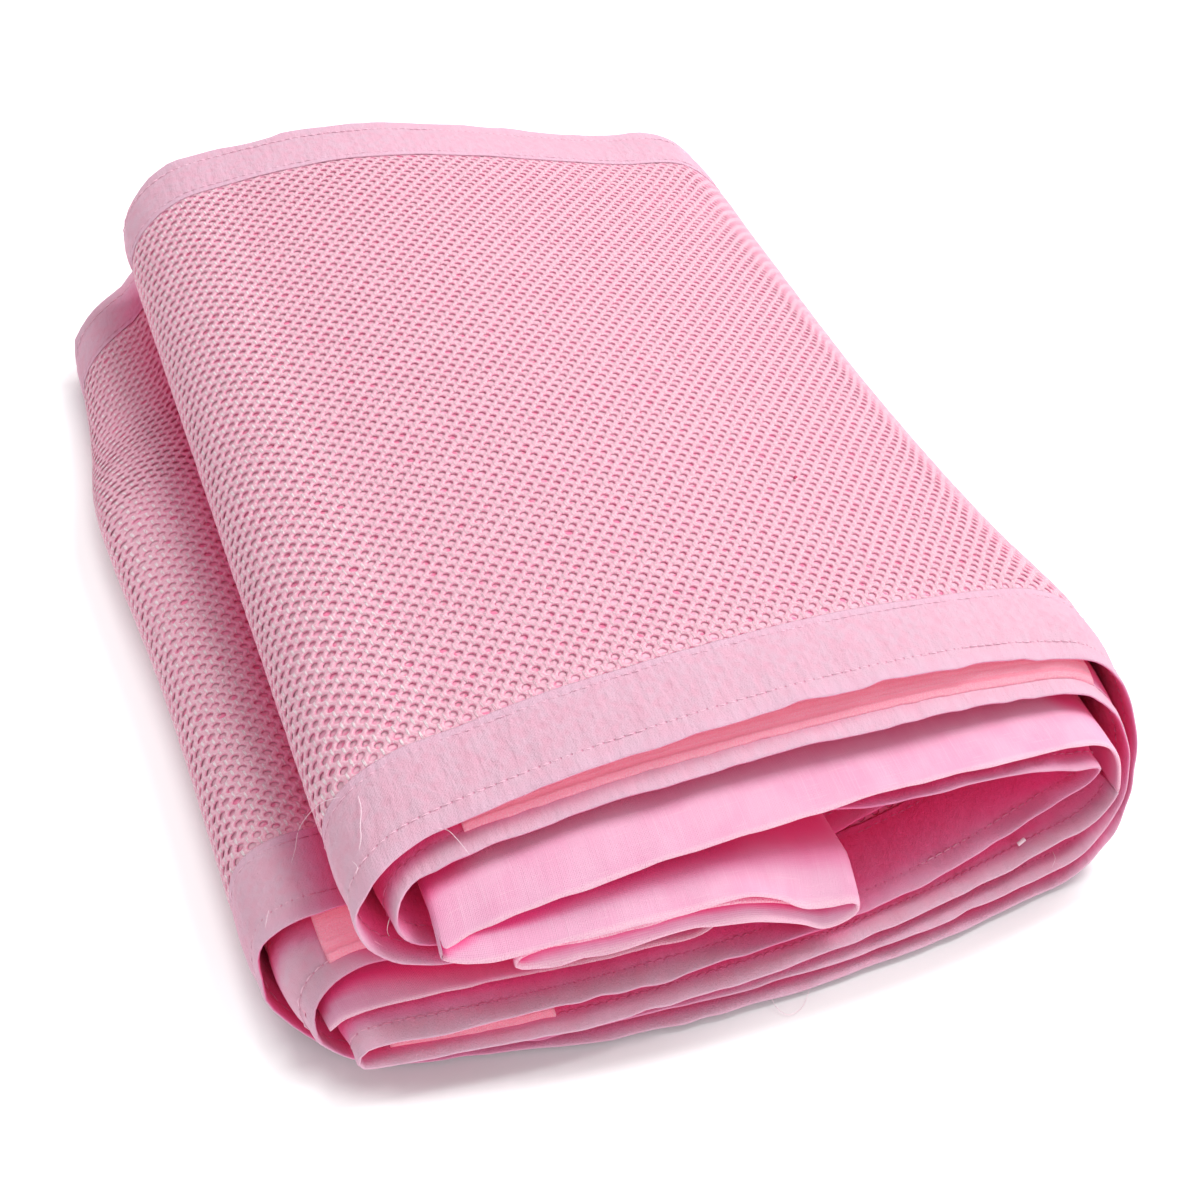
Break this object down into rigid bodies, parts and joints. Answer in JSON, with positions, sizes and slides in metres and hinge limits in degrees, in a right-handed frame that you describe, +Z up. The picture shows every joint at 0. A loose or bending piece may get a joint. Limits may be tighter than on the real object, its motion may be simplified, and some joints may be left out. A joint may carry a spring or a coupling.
{
  "type": "folded crib bumper",
  "caption": "Long strip of pink air mesh with bound edges, plain cotton end panels and loop tapes, folded back and forth into a flat pack.",
  "frame": {"origin": "middle of the pack's footprint, on the surface it rests on", "axes": "+Y along the strip's width from the side with the loop tapes to the far bound edge, +X along the folds' run from the stepped double fold to the round one, +Z up"},
  "size_m": [0.27, 0.3466, 0.0814],
  "materials": {
    "air_mesh": "knitted spacer mesh with small oval holes, matt with fine bright filaments",
    "binding_cloth": "thin soft brushed binding, matt, with a stitch line near each edge",
    "plain_cotton": "plain woven cotton with fine slubs, matt",
    "loop_tape": "fuzzy loop side of hook-and-loop tape, coral pink, sewn along its edges"
  },
  "bodies": {
    "root": {"mesh_panel": "air_mesh", "binding_front": "binding_cloth", "binding_back": "binding_cloth", "end_panel_a": "plain_cotton", "end_panel_b": "plain_cotton", "loop_tape_a": "loop_tape", "loop_tape_b": "loop_tape", "loop_tape_c": "loop_tape", "loop_tape_d": "loop_tape"}
  },
  "joints": []
}
